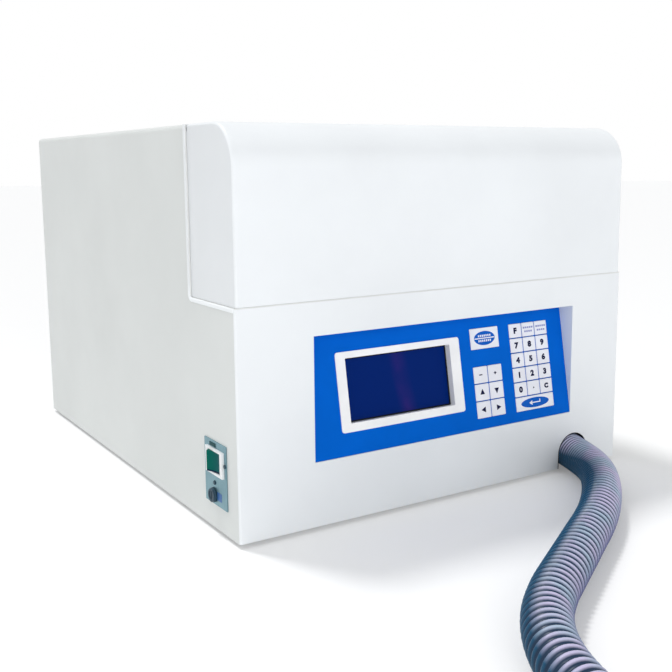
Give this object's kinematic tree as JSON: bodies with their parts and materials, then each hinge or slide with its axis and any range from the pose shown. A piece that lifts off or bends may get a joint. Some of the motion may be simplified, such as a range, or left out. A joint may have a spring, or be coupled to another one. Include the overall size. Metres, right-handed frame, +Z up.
{
  "type": "reflow oven",
  "caption": "Benchtop reflow oven with a lifting front hood, drawer tray, tilted keypad console with display, power rocker and a flexible fume hose.",
  "frame": {"origin": "on the bench, under the centre of the casing", "axes": "+X to the oven's right, +Y from the front to the rear panel, +Z up"},
  "size_m": [0.4951, 1.2488, 0.384],
  "materials": {
    "casing_paint": "fine smooth powder coat, cool white",
    "hood_paint": "smooth powder coat, white",
    "zinc_steel": "zinc-plated sheet, dull",
    "stainless": "brushed stainless, slightly heat-tinted",
    "console_blue": "satin printed polycarbonate, saturated blue",
    "key_white": "satin white with dark printed legends",
    "bezel_white": "moulded white, satin",
    "display_glass": "dark navy display glass, glossy",
    "circuit_green": "circuit board with components",
    "plate_grey": "anodised grey-teal plate, satin",
    "switch_white": "moulded white frame",
    "rocker_green": "translucent-looking dark green, glossy",
    "black_plastic": "moulded black, fine grain",
    "foot_rubber": "black rubber",
    "seal_silicone": "red silicone cord",
    "mineral_wool": "compressed mineral fibre board",
    "quartz": "frosted quartz tube with ceramic ends",
    "motor_grey": "stove-enamelled dark grey",
    "fan_steel": "pressed sheet steel",
    "hose_blue_grey": "corrugated hose, blue-grey with a metallic sheen"
  },
  "bodies": {
    "casing": {"outer_cover": "casing_paint", "front_fascia": "casing_paint", "base_pan": "zinc_steel", "rear_panel": "casing_paint", "feet": "foot_rubber", "casing_screws": "zinc_steel", "deck_frame": "zinc_steel", "body_hinge_leaf": "stainless", "hinge_pin": "stainless", "chamber_liner": "stainless", "chamber_insulation": "mineral_wool", "quartz_heaters": "quartz", "tray_rails": "stainless", "convection_motor": "motor_grey", "exhaust_blower": "motor_grey", "suction_pipe": "zinc_steel", "hose_clamp": "stainless", "exhaust_hose": "hose_blue_grey", "hose_cuff": "black_plastic", "console_plate": "console_blue", "display_bezel": "bezel_white", "display_window": "display_glass", "display_module": "circuit_green", "key_switch_board": "circuit_green", "power_plate": "plate_grey", "switch_body": "switch_white", "fuse_holder": "black_plastic", "mains_inlet": "black_plastic", "controller_board": "circuit_green"},
    "hood": {"hood_shell": "hood_paint", "hood_liner": "stainless", "hood_seal": "seal_silicone", "hood_hinge_leaf": "stainless"},
    "board_tray": {"board_tray": "stainless"},
    "convection_fan": {"convection_fan": "fan_steel"},
    "exhaust_impeller": {"exhaust_impeller": "black_plastic"},
    "rocker": {"rocker": "rocker_green"},
    "key_left": {"key_left": "key_white"},
    "key_right": {"key_right": "key_white"},
    "key_up": {"key_up": "key_white"},
    "key_down": {"key_down": "key_white"},
    "key_minus": {"key_minus": "key_white"},
    "key_plus": {"key_plus": "key_white"},
    "key_0": {"key_0": "key_white"},
    "key_point": {"key_point": "key_white"},
    "key_clear": {"key_clear": "key_white"},
    "key_1": {"key_1": "key_white"},
    "key_2": {"key_2": "key_white"},
    "key_3": {"key_3": "key_white"},
    "key_4": {"key_4": "key_white"},
    "key_5": {"key_5": "key_white"},
    "key_6": {"key_6": "key_white"},
    "key_7": {"key_7": "key_white"},
    "key_8": {"key_8": "key_white"},
    "key_9": {"key_9": "key_white"},
    "key_function": {"key_function": "key_white"},
    "key_program": {"key_program": "key_white"},
    "key_store": {"key_store": "key_white"},
    "key_enter": {"key_enter": "key_white"},
    "key_start": {"key_start": "key_white"}
  },
  "joints": [
    {"name": "hood_hinge", "type": "hinge", "parent": "casing", "child": "hood", "pos_m": [0, -0.204, 0.381], "axis": [-1, 0, 0], "range_deg": [0, 80]},
    {"name": "tray_slide", "type": "slide", "parent": "casing", "child": "board_tray", "axis": [0, -1, 0], "range_m": [0, 0.105]},
    {"name": "rocker_tilt", "type": "hinge", "parent": "casing", "child": "rocker", "pos_m": [-0.2416, -0.255, 0.0715], "axis": [0, 0, -1], "range_deg": [0, 28]},
    {"name": "convection_fan_spin", "type": "hinge", "parent": "casing", "child": "convection_fan", "pos_m": [0, 0.108, 0.2972], "axis": [0, 1, 0], "continuous": true},
    {"name": "exhaust_impeller_spin", "type": "hinge", "parent": "casing", "child": "exhaust_impeller", "pos_m": [0.138, -0.11, 0.03], "axis": [0, 0, 1], "continuous": true},
    {"name": "key_left_press", "type": "slide", "parent": "casing", "child": "key_left", "axis": [0, 0.9848, -0.1736], "range_m": [0, 0.0004], "stiffness_N_per_m": 400, "springref_m": -0.0006},
    {"name": "key_right_press", "type": "slide", "parent": "casing", "child": "key_right", "axis": [0, 0.9848, -0.1736], "range_m": [0, 0.0004], "stiffness_N_per_m": 400, "springref_m": -0.0006},
    {"name": "key_up_press", "type": "slide", "parent": "casing", "child": "key_up", "axis": [0, 0.9848, -0.1736], "range_m": [0, 0.0004], "stiffness_N_per_m": 400, "springref_m": -0.0006},
    {"name": "key_down_press", "type": "slide", "parent": "casing", "child": "key_down", "axis": [0, 0.9848, -0.1736], "range_m": [0, 0.0004], "stiffness_N_per_m": 400, "springref_m": -0.0006},
    {"name": "key_minus_press", "type": "slide", "parent": "casing", "child": "key_minus", "axis": [0, 0.9848, -0.1736], "range_m": [0, 0.0004], "stiffness_N_per_m": 400, "springref_m": -0.0006},
    {"name": "key_plus_press", "type": "slide", "parent": "casing", "child": "key_plus", "axis": [0, 0.9848, -0.1736], "range_m": [0, 0.0004], "stiffness_N_per_m": 400, "springref_m": -0.0006},
    {"name": "key_0_press", "type": "slide", "parent": "casing", "child": "key_0", "axis": [0, 0.9848, -0.1736], "range_m": [0, 0.0004], "stiffness_N_per_m": 400, "springref_m": -0.0006},
    {"name": "key_point_press", "type": "slide", "parent": "casing", "child": "key_point", "axis": [0, 0.9848, -0.1736], "range_m": [0, 0.0004], "stiffness_N_per_m": 400, "springref_m": -0.0006},
    {"name": "key_clear_press", "type": "slide", "parent": "casing", "child": "key_clear", "axis": [0, 0.9848, -0.1736], "range_m": [0, 0.0004], "stiffness_N_per_m": 400, "springref_m": -0.0006},
    {"name": "key_1_press", "type": "slide", "parent": "casing", "child": "key_1", "axis": [0, 0.9848, -0.1736], "range_m": [0, 0.0004], "stiffness_N_per_m": 400, "springref_m": -0.0006},
    {"name": "key_2_press", "type": "slide", "parent": "casing", "child": "key_2", "axis": [0, 0.9848, -0.1736], "range_m": [0, 0.0004], "stiffness_N_per_m": 400, "springref_m": -0.0006},
    {"name": "key_3_press", "type": "slide", "parent": "casing", "child": "key_3", "axis": [0, 0.9848, -0.1736], "range_m": [0, 0.0004], "stiffness_N_per_m": 400, "springref_m": -0.0006},
    {"name": "key_4_press", "type": "slide", "parent": "casing", "child": "key_4", "axis": [0, 0.9848, -0.1736], "range_m": [0, 0.0004], "stiffness_N_per_m": 400, "springref_m": -0.0006},
    {"name": "key_5_press", "type": "slide", "parent": "casing", "child": "key_5", "axis": [0, 0.9848, -0.1736], "range_m": [0, 0.0004], "stiffness_N_per_m": 400, "springref_m": -0.0006},
    {"name": "key_6_press", "type": "slide", "parent": "casing", "child": "key_6", "axis": [0, 0.9848, -0.1736], "range_m": [0, 0.0004], "stiffness_N_per_m": 400, "springref_m": -0.0006},
    {"name": "key_7_press", "type": "slide", "parent": "casing", "child": "key_7", "axis": [0, 0.9848, -0.1736], "range_m": [0, 0.0004], "stiffness_N_per_m": 400, "springref_m": -0.0006},
    {"name": "key_8_press", "type": "slide", "parent": "casing", "child": "key_8", "axis": [0, 0.9848, -0.1736], "range_m": [0, 0.0004], "stiffness_N_per_m": 400, "springref_m": -0.0006},
    {"name": "key_9_press", "type": "slide", "parent": "casing", "child": "key_9", "axis": [0, 0.9848, -0.1736], "range_m": [0, 0.0004], "stiffness_N_per_m": 400, "springref_m": -0.0006},
    {"name": "key_function_press", "type": "slide", "parent": "casing", "child": "key_function", "axis": [0, 0.9848, -0.1736], "range_m": [0, 0.0004], "stiffness_N_per_m": 400, "springref_m": -0.0006},
    {"name": "key_program_press", "type": "slide", "parent": "casing", "child": "key_program", "axis": [0, 0.9848, -0.1736], "range_m": [0, 0.0004], "stiffness_N_per_m": 400, "springref_m": -0.0006},
    {"name": "key_store_press", "type": "slide", "parent": "casing", "child": "key_store", "axis": [0, 0.9848, -0.1736], "range_m": [0, 0.0004], "stiffness_N_per_m": 400, "springref_m": -0.0006},
    {"name": "key_enter_press", "type": "slide", "parent": "casing", "child": "key_enter", "axis": [0, 0.9848, -0.1736], "range_m": [0, 0.0004], "stiffness_N_per_m": 400, "springref_m": -0.0006},
    {"name": "key_start_press", "type": "slide", "parent": "casing", "child": "key_start", "axis": [0, 0.9848, -0.1736], "range_m": [0, 0.0004], "stiffness_N_per_m": 400, "springref_m": -0.0006}
  ]
}
